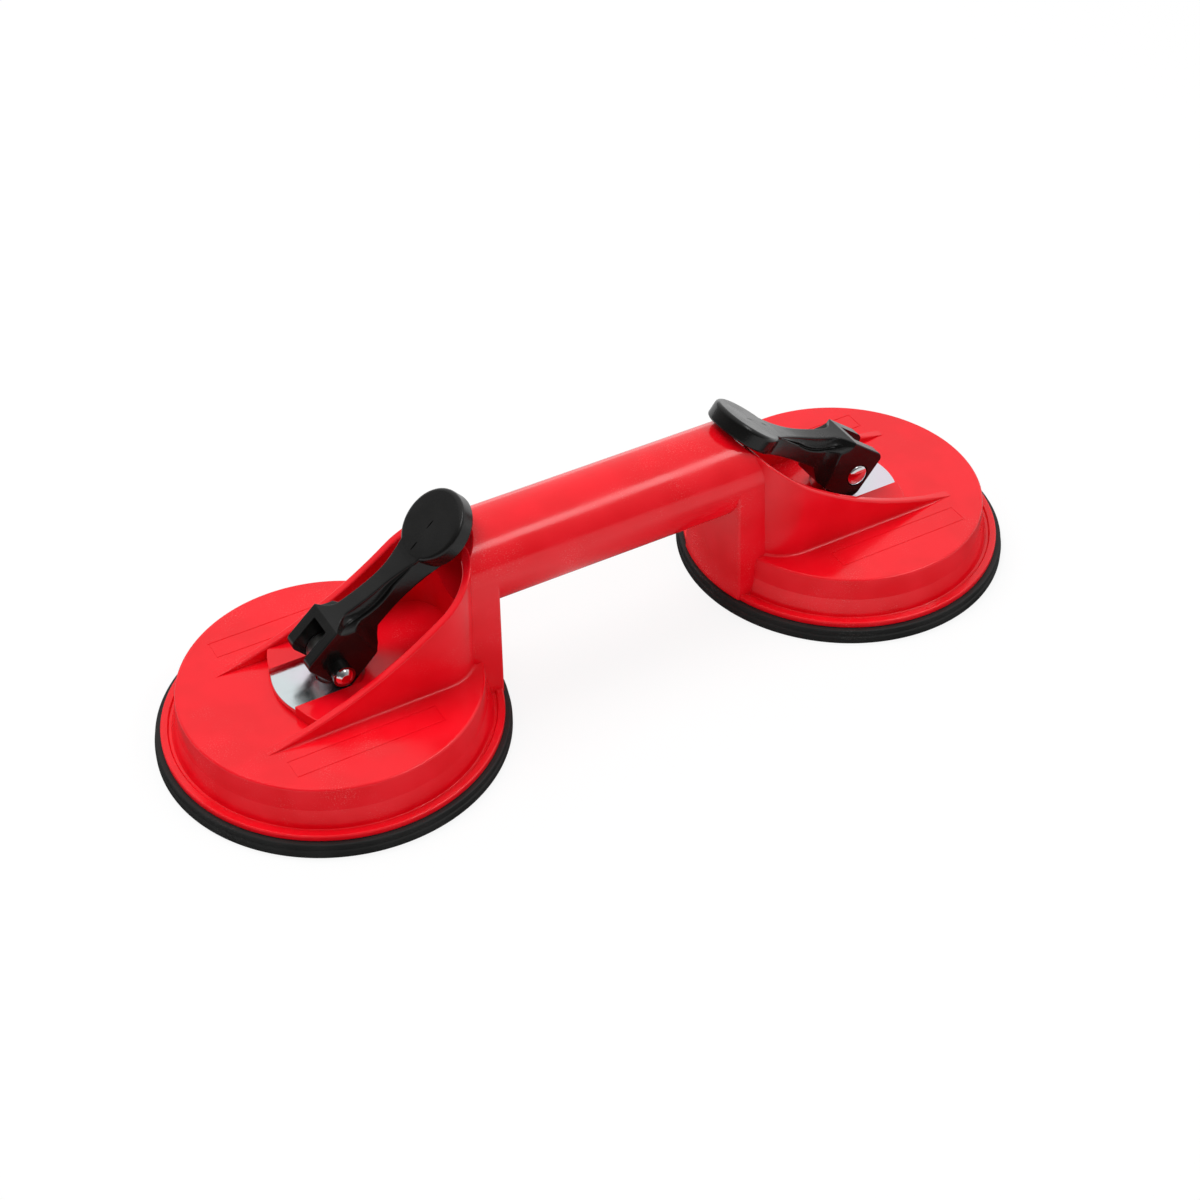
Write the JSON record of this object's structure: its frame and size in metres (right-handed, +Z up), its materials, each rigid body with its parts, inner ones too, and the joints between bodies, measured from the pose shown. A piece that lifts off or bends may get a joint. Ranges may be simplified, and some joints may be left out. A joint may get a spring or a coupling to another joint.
{
  "type": "suction lifter",
  "caption": "Hand-held suction lifter with round rubber pads on a red one-piece body, a straight tube handle and black cam levers that draw the pads.",
  "frame": {"origin": "on the floor plane, midway between the two suction pads", "axes": "+X along the tube handle from the left cup to the right cup, +Y across it away from the side with the left pin's tail, +Z up through the handle"},
  "size_m": [0.3194, 0.118, 0.0791],
  "materials": {
    "red_abs": "glossy injection-moulded ABS",
    "black_nylon": "satin moulded glass-filled nylon",
    "pad_rubber": "matt moulded rubber",
    "plain_steel": "plain steel",
    "bolt_steel": "dull zinc plating",
    "zinc_steel": "bright zinc plating with a faint colour sheen",
    "chrome_pin": "polished nickel plating",
    "ring_steel": "black spring steel"
  },
  "bodies": {
    "frame": {"body_shell": "red_abs", "rubber_pad_left": "pad_rubber", "rubber_pad_right": "pad_rubber", "wear_plate_left": "zinc_steel", "wear_plate_right": "zinc_steel"},
    "draw_left": {"draw_bolt_left": "bolt_steel", "backing_plate_left": "plain_steel", "jam_nut_left": "plain_steel"},
    "draw_right": {"draw_bolt_right": "bolt_steel", "backing_plate_right": "plain_steel", "jam_nut_right": "plain_steel"},
    "lever_left": {"lever_left": "black_nylon", "clevis_pin_left": "chrome_pin", "retaining_ring_left": "ring_steel"},
    "lever_right": {"lever_right": "black_nylon", "clevis_pin_right": "chrome_pin", "retaining_ring_right": "ring_steel"}
  },
  "joints": [
    {"name": "draw_slide_left", "type": "slide", "parent": "frame", "child": "draw_left", "axis": [0, 0, -1], "range_m": [-0.00031, 0.0033], "deforming": ["rubber_pad_left"]},
    {"name": "lever_hinge_left", "type": "hinge", "parent": "draw_left", "child": "lever_left", "pos_m": [-0.10075, 0, 0.0332], "axis": [0, -1, 0], "range_deg": [-4.4, 47.75]},
    {"name": "draw_slide_right", "type": "slide", "parent": "frame", "child": "draw_right", "axis": [0, 0, -1], "range_m": [0, 0.0036], "deforming": ["rubber_pad_right"]},
    {"name": "lever_hinge_right", "type": "hinge", "parent": "draw_right", "child": "lever_right", "pos_m": [0.10075, 0, 0.0335], "axis": [0, 1, 0], "range_deg": [0, 52.15]}
  ],
  "couplings": [
    {"joint": "draw_slide_left", "follows": "lever_hinge_left", "m_per_rad": 0.003955},
    {"joint": "draw_slide_right", "follows": "lever_hinge_right", "m_per_rad": 0.003955}
  ]
}
